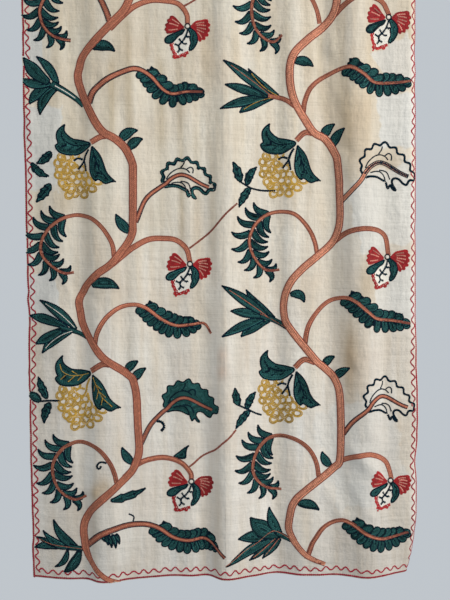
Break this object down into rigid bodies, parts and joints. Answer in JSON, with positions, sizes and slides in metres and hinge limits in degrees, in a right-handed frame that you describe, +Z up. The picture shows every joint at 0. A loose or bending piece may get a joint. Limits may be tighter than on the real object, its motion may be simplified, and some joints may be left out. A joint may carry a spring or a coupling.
{
  "type": "crewel embroidery panel",
  "caption": "Tall hanging of cream ground cloth in two seamed loom widths, worked in wool with winding stems, leaves, flowers and berries inside a red zigzag border.",
  "frame": {"origin": "middle of the top edge, in the plane of the flat back of the heading", "axes": "+Z up, +X to the right as seen from the worked front, -Y towards the viewer, +Y towards the wall"},
  "size_m": [0.94, 0.076, 1.9245],
  "materials": {
    "ground_cloth": "matt linen and cotton twill, aged cream"
  },
  "bodies": {
    "root": {"left_width": "ground_cloth", "right_width": "ground_cloth"}
  },
  "joints": []
}
